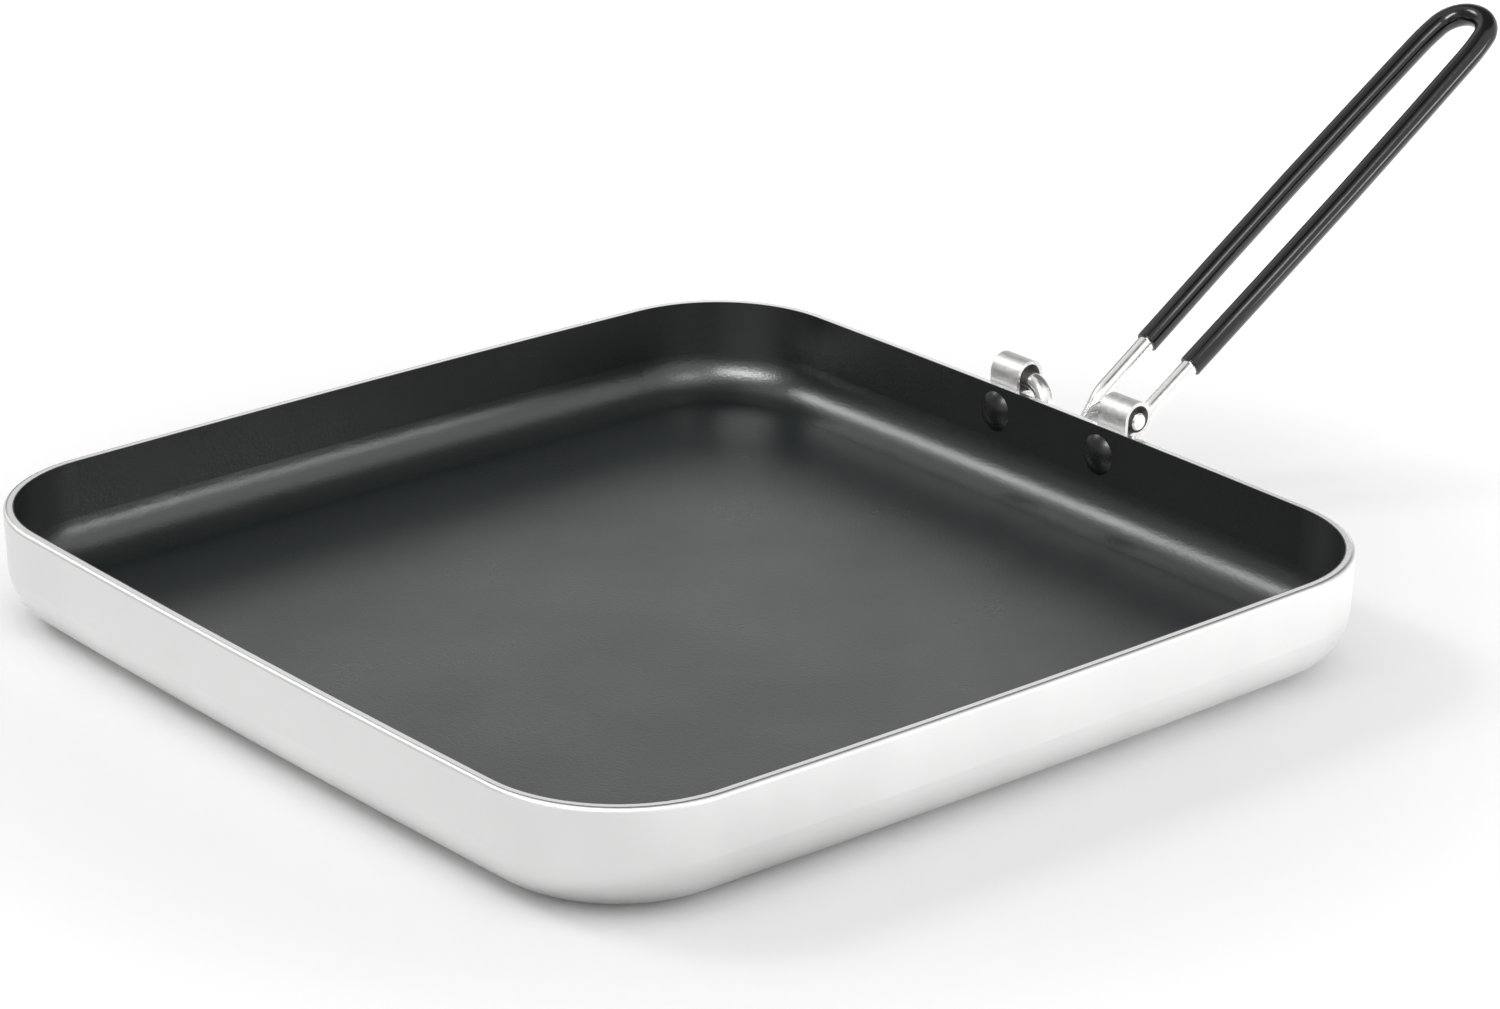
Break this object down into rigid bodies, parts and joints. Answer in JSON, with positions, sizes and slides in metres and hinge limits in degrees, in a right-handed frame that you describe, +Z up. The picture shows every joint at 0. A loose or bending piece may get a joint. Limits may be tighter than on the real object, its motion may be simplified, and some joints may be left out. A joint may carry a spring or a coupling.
{
  "type": "square frying pan",
  "caption": "Shallow square frying pan with a non-stick inside and a wire handle that folds over into the pan.",
  "frame": {"origin": "middle of the flat underside, on the surface the pan stands on", "axes": "+Z up, +Y from the pan out to the handle, +X along the hinge to the right-hand bracket"},
  "size_m": [0.26, 0.4192, 0.1093],
  "materials": {
    "satin_aluminium": "satin",
    "nonstick_coating": "fine-grained satin black",
    "stainless_strap": "satin",
    "black_rivet": "black coated head, bare tail",
    "stainless_wire": "polished",
    "black_sleeve": "glossy black"
  },
  "bodies": {
    "pan": {"pan_body": "satin_aluminium", "nonstick_lining": "nonstick_coating", "left_bracket": "stainless_strap", "right_bracket": "stainless_strap", "left_rivet": "black_rivet", "right_rivet": "black_rivet"},
    "handle": {"handle_wire": "stainless_wire", "grip_sleeve": "black_sleeve"}
  },
  "joints": [
    {"name": "handle_fold", "type": "hinge", "parent": "pan", "child": "handle", "pos_m": [0, 0.13495, 0.02944], "axis": [1, 0, 0], "range_deg": [0, 160]}
  ]
}
